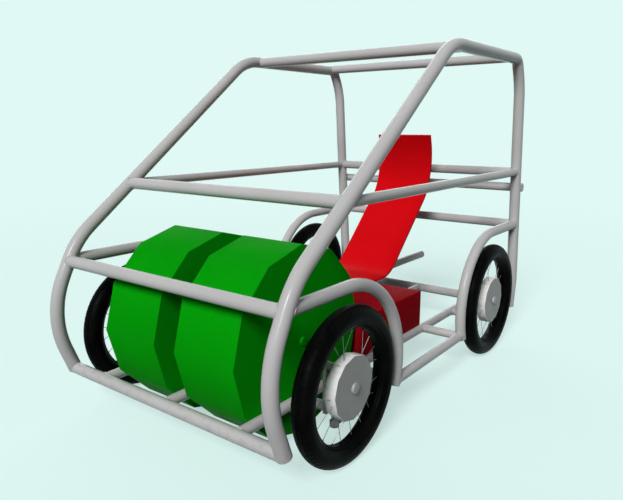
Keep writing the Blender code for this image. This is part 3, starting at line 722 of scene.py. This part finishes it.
# ---- Seat -------------------------------------------------------------------------------------
# One curved sheet, moulded in glass fibre with a bright red gel coat: a flat pan, a long easy bend and
# a back that leans and then turns up. Two dome-headed screws under the same coat hold it to the spine.
SEAT_BENDS = (                  # y, height above the pan and bend radius
    (0.096, 0.000, None),
    (0.312, 0.000, 0.150),
    (0.657, 0.343, 0.200),
    (0.705, 0.500, 0.300),
    (0.670, 0.615, None),
)
SHELL_THICKNESS = 0.010
SHELL_EASE = 0.0042
SHELL_CORNER = 60               # degrees; the bends of the sheet are flatter than this
SEAT_RED = (0.680, 0.0030, 0.0068)
SCREW_RADIUS = 0.0075
SCREW_HEIGHT = 0.0035
SCREW_SIDES = 32
SCREW_PLACES = (("front", 0.130), ("rear", 0.215))
SOCKET_DEPTH = 0.5              # share of the head's height
SOFT_EDGE = math.radians(40)
RUBBED_SEAT = (0.62, 0.03, 0.03, 1.0)
CLOTH_PRINT = 0.00005           # depth of the cloth's print and of the peel


def make_gel_coat():
    """Gel coat over glass fibre: an even gloss with a faint print of the cloth under it, and scuffs."""
    material, tree, shader = new_finish("seat_gel_coat", Specular_IOR_Level=0.025)
    coat = place_group(tree, sprayed_coat, Colour=(*SEAT_RED, 1.0), Gloss=0.36, Shade_Spread=0.040,
                       Dust=0.0, Peel=0.6)
    rub = place_group(tree, edge_rub, Reach=0.003, Amount=0.30)["Rub"]
    worn = blend_colours(tree, rub, coat["Colour"], RUBBED_SEAT)
    tree.links.new(worn, shader.inputs["Base Color"])
    place = add_node(tree, "TexCoord").outputs["Object"]
    warp, weft = (add_node(tree, "TexWave", {"bands_direction": way}, Vector=place, Scale=scale,
                           Distortion=0.6) for way, scale in (("X", 95.0), ("DIAGONAL", 70.0)))
    cloth = work_out(tree, "MULTIPLY", warp.outputs["Fac"], weft.outputs["Fac"])
    scuffs = ramp(tree, speckle(tree, 38.0, 8.0, 0.7), 0.55, 0.72, 0.0, 0.22)
    tree.links.new(work_out(tree, "ADD", coat["Roughness"], scuffs), shader.inputs["Roughness"])
    print_through = work_out(tree, "MULTIPLY_ADD", cloth, 0.35, coat["Height"])
    raise_surface(tree, shader, print_through, CLOTH_PRINT)
    return material


low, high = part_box("seat")
seat_half_width = (high.x - low.x) / 2
pan_top = low.z + SHELL_THICKNESS
line = bend_line([(y, pan_top + height, radius) for y, height, radius in SEAT_BENDS])
rings = []
for index, spot in enumerate(line):
    heading = (line[min(index + 1, len(line) - 1)] - line[max(index - 1, 0)]).normalized()
    under = Vector((1, 0, 0)).cross(heading) * -SHELL_THICKNESS
    aside = Vector((seat_half_width, 0, 0))
    rings.append([spot - aside, spot + aside, spot + aside + under, spot - aside + under])
bm = skin(rings)
round_off(bm, SHELL_EASE, SHELL_CORNER, 3)
gel_coat = make_gel_coat()
show("seat_shell", bm, gel_coat, stands_for=("seat",), crisp=SOFT_EDGE)
for place, y in SCREW_PLACES:
    dome = [(SCREW_HEIGHT * math.sin(angle) ** 0.8, SCREW_RADIUS * math.cos(angle))
            for angle in (math.pi / 2 * step / 6 for step in range(6))]
    floor = SCREW_HEIGHT * SOCKET_DEPTH
    socket = [(SCREW_HEIGHT, SCREW_RADIUS * 0.25), (floor, SCREW_RADIUS * 0.22), (floor, 0.0)]
    bm = turn([(0.0, 0.0), *dome, *socket], SCREW_SIDES)
    bmesh.ops.rotate(bm, matrix=Matrix.Rotation(-math.pi / 2, 3, "Y"), verts=bm.verts[:])
    show(f"seat_{place}_screw", bm, gel_coat, at=(0, y, pan_top))


# ---- Tyres ------------------------------------------------------------------------------------
# Fat black rubber tyres for a 20-inch wheel, with three grooves round the tread, short slots across its
# shoulders and a fine ridge on each side wall where the bead begins.
TREAD_PITCHES = 72
GROOVE_DEPTH = 0.0013
SLOT_SHARE = 0.17               # of a pitch
WALL_SHARE = 0.02
MIDDLE_GROOVE = (2.4, 2.8)      # floor and top of each groove, in degrees round the tyre's section
SIDE_GROOVE = (20.0, 20.4, 24.0, 24.4)
SHOULDER_END = (52.0, 52.6)
RIDGE = (110.0, 112.0, 115.0, 117.0)
RIDGE_HEIGHT = 0.0006
SEAT_EDGE = 150.0               # where the section meets the rim
TREAD_STARTS = (0.243, 0.252)   # distance from the axle at which dust begins, and is full
TYRE_SHEEN = 0.022
TREAD_DUST = (0.007, 0.0065, 0.006, 1.0)


def section_angles():
    """Return the angles of the tyre's section, from one bead over the tread to the other."""
    half = [0.0, *MIDDLE_GROOVE, 8.0, 14.0, *SIDE_GROOVE, 31.0, 38.0, 45.0, *SHOULDER_END,
            60.0, 70.0, 80.0, 90.0, 100.0, *RIDGE, 125.0, 134.0, 142.0, SEAT_EDGE]
    return np.array([-angle for angle in half[:0:-1]] + half)


def tyre_points(ring_radius, section_radius):
    """Return the points of a tyre as a grid of angles round the wheel by angles round the section."""
    angles = section_angles()
    size = np.abs(angles)
    pitch = np.array([0.0, WALL_SHARE, WALL_SHARE + SLOT_SHARE, 2 * WALL_SHARE + SLOT_SHARE])
    in_slot = np.tile([False, True, True, False], TREAD_PITCHES)
    starts = np.arange(TREAD_PITCHES)[:, None] + pitch - 0.5 * pitch[-1]
    round_wheel = starts.ravel()[:, None] * math.tau / TREAD_PITCHES
    grooved = (size <= MIDDLE_GROOVE[0]) | ((size >= SIDE_GROOVE[1]) & (size <= SIDE_GROOVE[2]))
    shoulder = (size > SIDE_GROOVE[2]) & (size <= SHOULDER_END[0])
    cut = grooved[None, :] | (shoulder[None, :] & in_slot[:, None])
    ridge = ((size >= RIDGE[1]) & (size <= RIDGE[2]))[None, :]
    reach = section_radius - GROOVE_DEPTH * cut + RIDGE_HEIGHT * ridge
    along, out = np.sin(np.radians(angles)), np.cos(np.radians(angles))
    radius = ring_radius + reach * out
    return np.stack([reach * along, radius * np.sin(round_wheel), radius * np.cos(round_wheel)], axis=2)


def make_mottled_black():
    """A black that is never quite even: two near blacks in soft patches, and a gloss that wanders."""
    group, given, result = new_group(
        "mottled_black",
        {"Deep": (0.0006, 0.0006, 0.0007, 1.0), "Pale": (0.0028, 0.0027, 0.0026, 1.0), "Patches": 14.0,
         "Least Roughness": 0.33, "Most Roughness": 0.43},
        {"Colour": "Color", "Roughness": "Float"})
    place = add_node(group, "TexCoord").outputs["Object"]
    patches = add_node(group, "TexNoise", Vector=place, Scale=given["Patches"], Detail=6.0).outputs[0]
    colour = blend_colours(group, ramp(group, patches, 0.3, 0.75), given["Deep"], given["Pale"])
    wander = add_node(group, "MapRange", Value=speckle(group, 22.0, 5.0))
    wander.inputs["From Min"].default_value, wander.inputs["From Max"].default_value = 0.3, 0.7
    group.links.new(given["Least Roughness"], wander.inputs["To Min"])
    group.links.new(given["Most Roughness"], wander.inputs["To Max"])
    group.links.new(colour, result["Colour"])
    group.links.new(wander.outputs["Result"], result["Roughness"])
    return group


mottled_black = make_mottled_black()


def make_rubber():
    """Black rubber: a dull sheen that changes with wear, road dust on the tread, and a moulded grain."""
    material, tree, shader = new_finish("tyre_rubber", Specular_IOR_Level=TYRE_SHEEN)
    black = place_group(tree, mottled_black)
    dusted = ramp(tree, speckle(tree, 70.0, 6.0), 0.4, 0.7)
    tread = work_out(tree, "MULTIPLY", ramp(tree, from_axle(tree), *TREAD_STARTS), dusted)
    share = work_out(tree, "MULTIPLY", tread, 0.35)
    dusty = blend_colours(tree, share, black["Colour"], TREAD_DUST)
    tree.links.new(dusty, shader.inputs["Base Color"])
    dulled = work_out(tree, "MULTIPLY", tread, 0.2)
    tree.links.new(work_out(tree, "ADD", black["Roughness"], dulled), shader.inputs["Roughness"])
    raise_surface(tree, shader, speckle(tree, 700.0, 2.0), 0.00012, 0.6)
    return material


tyre_rubber = make_rubber()
WHEELS = [(f"{end}_{side}", sign) for end in ("front", "rear") for side, sign in (("left", 1), ("right", -1))]
axles = {}
for wheel, sign in WHEELS:
    low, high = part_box(f"{wheel}_tyre")
    axles[wheel] = (low + high) / 2
    section_radius = (high.x - low.x) / 2
    ring_radius = (high.z - low.z) / 2 - section_radius
    grid = tyre_points(ring_radius, section_radius)
    rings = [[Vector(spot) for spot in row] for row in grid.tolist()]
    show(f"{wheel}_tyre_cover", skin(rings, closed=True), tyre_rubber, f"{wheel}_wheel",
         (f"{wheel}_tyre",), crisp=SOFT_EDGE, at=axles[wheel])


# ---- Rims, spokes and hubs --------------------------------------------------------------------
# A black anodised rim of rolled aluminium, twenty straight stainless wires laced in crossing pairs, each
# with a nipple at the rim, and a broad twelve-sided cast hub with faces skimmed on a lathe. The hub's
# narrow sides are painted a much paler grey than its faces, as a painted highlight for their lit side.
RIM_PROFILE = (                 # x and depth below the rim's outer face, for one half
    (0.0171, 0.0000), (0.0166, 0.0022), (0.0145, 0.0046), (0.0118, 0.0061), (0.0070, 0.0066), (0.0, 0.0067))
RIM_SIDES = 120
BEAD_SEAT = math.cos(math.radians(30))
SEAT_GAP = 0.0003
RIM_WALL = 0.0033               # from the rim's outer face to a spoke's outer end
SPOKES = 20
SPOKE_RADIUS = 0.0010
SPOKE_SIDES = 8
SPOKE_GREY = (0.20, 0.20, 0.20)
SPOKE_FLANGE = 0.012            # of a spoke's inner end to either side
SPOKE_LEAD = math.radians(13)   # angle between a spoke's two ends, round the axle
NIPPLE_RADIUS = 0.0021
NIPPLE_LENGTH = 0.010
HUB_SIDES = 12
HUB_RADIUS = 0.1045
HUB_IN = 0.0134                 # middle of the tyre to the hub's inner face
HUB_OUT = 0.0266
HUB_EASE = 0.0016
SEAL_RADIUS = 0.0235            # dust seal round the axle on the hub's inner face
SEAL_BORE = 0.0105
SEAL_ROOT = 0.002               # length of the seal inside the hub
SEAL_FACE = 0.0016              # and outside it
SEAL_EDGE = (0.0006, 0.0020)    # of the slope round its outer corner, along the axle and across
HUB_GREY = (0.385, 0.385, 0.385)
RUBBED_BLACK = (0.03, 0.03, 0.03, 1.0)  # where the rim's anodising has worn
BAND_PAINTED_LIGHT_GREY = (0.90, 0.90, 0.89)  # painted highlight: a paler copy of the hub's grey for its lit narrow sides

hub_metal = make_turned_metal("hub_cast_grey", HUB_GREY, 0.42, 0.0, 0.00010, sheen=0.3)
painted_light_band_metal = make_turned_metal("hub_band_painted_light", BAND_PAINTED_LIGHT_GREY, 0.34, 0.0, 0.00004, sheen=0.4)
wire_steel = make_turned_metal("spoke_stainless", SPOKE_GREY, 0.45, 1.0, 0.00002)


def make_black_rim():
    """Black anodising: a deep satin black, rubbed grey on its edges, with fine lines round the rim."""
    material, tree, shader = new_finish("rim_black_anodised", Specular_IOR_Level=0.02)
    black = place_group(tree, mottled_black, Patches=16.0, Least_Roughness=0.34, Most_Roughness=0.46)
    rub = place_group(tree, edge_rub, Reach=0.0012, Amount=0.15)["Rub"]
    worn = blend_colours(tree, rub, black["Colour"], RUBBED_BLACK)
    tree.links.new(worn, shader.inputs["Base Color"])
    tree.links.new(black["Roughness"], shader.inputs["Roughness"])
    raise_surface(tree, shader, place_group(tree, turned_marks)["Height"], 0.00004)
    return material


def join_rods(rods):
    """Return one bmesh of straight rods, each given by its two ends, radius and number of sides."""
    bm = bmesh.new()
    for start, end, radius, sides in rods:
        add_part(bm, skin(rings_along([start, end], radius, sides)))
    return bm


def spoke_ends(rim_radius):
    """Return the inner and outer end of each spoke of one wheel."""
    hub_end = HUB_RADIUS * math.cos(math.pi / HUB_SIDES) - 4 * SPOKE_RADIUS
    for index in range(SPOKES):
        rim_angle = math.tau * (index + 0.5) / SPOKES
        hub_angle = rim_angle + (SPOKE_LEAD if index % 4 < 2 else -SPOKE_LEAD)
        inner = hub_end * Vector((0, math.cos(hub_angle), math.sin(hub_angle)))
        inner.x = SPOKE_FLANGE if index % 2 else -SPOKE_FLANGE
        yield inner, rim_radius * Vector((0, math.cos(rim_angle), math.sin(rim_angle)))


rim_black = make_black_rim()
rim_top = ring_radius - section_radius * BEAD_SEAT - SEAT_GAP
rim_half = [(x, rim_top - depth) for x, depth in RIM_PROFILE]
rim_ring = [*rim_half, *((-x, radius) for x, radius in rim_half[-2::-1])]
for wheel, sign in WHEELS:
    body, centre = f"{wheel}_wheel", axles[wheel]
    show(f"{wheel}_rim", turn(rim_ring, RIM_SIDES, closed=True), rim_black, body,
         (f"{wheel}_wheel",), at=centre)
    wires, nipples = [], []
    for inner, outer in spoke_ends(rim_top - RIM_WALL):
        along = (inner - outer).normalized()
        wires.append((inner, outer, SPOKE_RADIUS, SPOKE_SIDES))
        nipples.append((outer, outer + along * NIPPLE_LENGTH, NIPPLE_RADIUS, SPOKE_SIDES))
    show(f"{wheel}_spokes", join_rods(wires), wire_steel, body, at=centre)
    show(f"{wheel}_spoke_nipples", join_rods(nipples), rim_black, body, at=centre)
    bm = many_sided(HUB_RADIUS, -sign * HUB_IN, sign * HUB_OUT, HUB_SIDES, HUB_EASE)
    # The hub's narrow sides take the paler copy of its grey as a painted highlight; its two faces keep the
    # plain grey.
    for face in bm.faces:
        face.material_index = int(abs(face.normal.x) < 0.9)
    hub = show(f"{wheel}_hub", bm, hub_metal, body, at=centre)
    hub.data.materials.append(painted_light_band_metal)
    profile = ((-SEAL_ROOT, SEAL_BORE), (-SEAL_ROOT, SEAL_RADIUS), (SEAL_FACE - SEAL_EDGE[0], SEAL_RADIUS),
               (SEAL_FACE, SEAL_RADIUS - SEAL_EDGE[1]), (SEAL_FACE, SEAL_BORE))
    seal = turn([(-sign * (HUB_IN + x), radius) for x, radius in profile], CAP_SIDES, closed=True)
    show(f"{wheel}_dust_seal", seal, tyre_rubber, body, at=centre)


# ---- Steering ---------------------------------------------------------------------------------
# Each front knuckle is one welded piece of turned and flat steel: kingpin, barrel, stub axle and a long
# arm. A straight rod joins the ends of the two arms. All of it has one thin coat of satin grey.
KNUCKLE_EASE = 0.0007
STEERING_GREY = (0.30, 0.30, 0.31)

steering_metal = make_turned_metal("steering_grey_metal", STEERING_GREY, 0.40, 0.0, 0.00005)
for side, sign in (("left", 1), ("right", -1)):
    node = f"front_{side}_knuckle"
    bm = eased_copy(node, KNUCKLE_EASE)
    cut_cap_off(bm, cap_root + CAP_OVERLAP)
    show(f"{node}_forging", bm, steering_metal, f"{side}_knuckle", (node,))
    fit_cap(f"front_{side}_axle_cap", sign, axles[f"front_{side}"], f"{side}_knuckle")
bm = eased_copy("tie_rod", KNUCKLE_EASE)
show("tie_rod_and_eyes", bm, steering_metal, "tie_rod", ("tie_rod",))


# ---- Studio -----------------------------------------------------------------------------------
# A wide pale floor that runs out of sight, a broad soft key light ahead of the vehicle, a weak fill from
# its left, a wide light from behind it, and a camera ahead and to the left of it at chest height.
PALE = (0.745, 0.947, 0.913, 1.0)   # the backdrop's colour
FLOOR_RADIUS = 60.0
FLOOR_SHADE = (0.360, 0.457, 0.441, 1.0)    # the part of the floor's colour that a shadow darkens
FLOOR_GLOW = (0.475, 0.604, 0.582, 1.0)     # the part that stays, and makes it as pale as the backdrop
FLOOR_BOUNCE = (0.08, 0.09, 0.09, 1.0)      # what soft bounced light sees of it
FLOOR_FADE = (2.5, 7.0)         # distances between which the floor runs into the backdrop
AMBIENT = 0.070
LIGHTS = (                      # name, the way it comes from, strength and spread in degrees
    ("key_light", (0.250, -0.765, 0.595), 2.72, 20),
    ("fill_light", (0.80, -0.45, 0.35), 0.06, 60),
    ("back_light", (-0.70, 0.65, 0.35), 0.90, 60),
)
LIGHT_DISTANCE = 5
CAMERA_PLACE = (1.4285, -1.973, 1.031)
CAMERA_DIP = 11.82              # degrees below level, and round to the left of straight ahead
CAMERA_ROUND = 37.11
LENS = 34.06
SENSOR_WIDTH = 36.0


def seen_directly(tree):
    """Return 1 for what the camera, a polished surface or glass looks at, and 0 for soft bounced light."""
    path = add_node(tree, "LightPath").outputs
    either = work_out(tree, "MAXIMUM", path["Is Glossy Ray"], path["Is Transmission Ray"])
    return work_out(tree, "MAXIMUM", path["Is Camera Ray"], either)


def make_floor():
    """Lay a floor whose pale shade runs into the backdrop's with distance."""
    bm = bmesh.new()
    bmesh.ops.create_circle(bm, cap_ends=True, segments=96, radius=FLOOR_RADIUS)
    mesh = bpy.data.meshes.new("studio_floor")
    bm.to_mesh(mesh)
    bm.free()
    material = bpy.data.materials.new("studio_floor_paint")
    material.use_nodes = True
    tree = material.node_tree
    tree.nodes.clear()
    looked_at = seen_directly(tree)
    matt_colour = blend_colours(tree, looked_at, FLOOR_BOUNCE, FLOOR_SHADE)
    matt = add_node(tree, "BsdfDiffuse", Color=matt_colour).outputs[0]
    glow = add_node(tree, "Emission", Color=FLOOR_GLOW, Strength=looked_at).outputs[0]
    near = add_node(tree, "AddShader", _0=matt, _1=glow).outputs[0]
    far = add_node(tree, "Emission", Color=PALE, Strength=looked_at).outputs[0]
    place = add_node(tree, "TexCoord").outputs["Object"]
    distance = add_node(tree, "VectorMath", {"operation": "LENGTH"}, _0=place).outputs["Value"]
    share = work_out(tree, "MULTIPLY", ramp(tree, distance, *FLOOR_FADE), looked_at)
    mixed = add_node(tree, "MixShader", _0=share, _1=near, _2=far).outputs[0]
    output = tree.nodes.new("ShaderNodeOutputMaterial")
    tree.links.new(mixed, output.inputs["Surface"])
    mesh.materials.append(material)
    floor = bpy.data.objects.new("studio_floor", mesh)
    bpy.context.scene.collection.objects.link(floor)


def make_backdrop():
    """Surround the studio with the pale backdrop, which lights the vehicle only as soft grey ambient."""
    world = bpy.data.worlds.new("studio_backdrop")
    bpy.context.scene.world = world
    world.use_nodes = True
    tree = world.node_tree
    tree.nodes.clear()
    colour = blend_colours(tree, seen_directly(tree), (AMBIENT, AMBIENT, AMBIENT, 1.0), PALE)
    background = add_node(tree, "Background", Color=colour).outputs[0]
    output = tree.nodes.new("ShaderNodeOutputWorld")
    tree.links.new(background, output.inputs["Surface"])


def hang_light(name, come_from, strength, spread):
    """Hang a broad soft light that shines on the vehicle from a direction."""
    lamp = bpy.data.lights.new(name, "SUN")
    lamp.energy = strength
    lamp.angle = math.radians(spread)
    light = bpy.data.objects.new(name, lamp)
    light.rotation_euler = (-Vector(come_from)).to_track_quat("-Z", "Y").to_euler()
    light.location = Vector(come_from) * LIGHT_DISTANCE
    bpy.context.scene.collection.objects.link(light)


make_floor()
make_backdrop()
for light in LIGHTS:
    hang_light(*light)
camera_data = bpy.data.cameras.new("studio_camera")
camera_data.sensor_width = SENSOR_WIDTH
camera_data.lens = LENS
camera_data.clip_end = 500.0
camera = bpy.data.objects.new("studio_camera", camera_data)
camera.location = CAMERA_PLACE
camera.rotation_euler = (math.radians(90 - CAMERA_DIP), 0, math.radians(CAMERA_ROUND))
bpy.context.scene.collection.objects.link(camera)
bpy.context.scene.camera = camera
bpy.context.scene.view_settings.view_transform = "Standard"
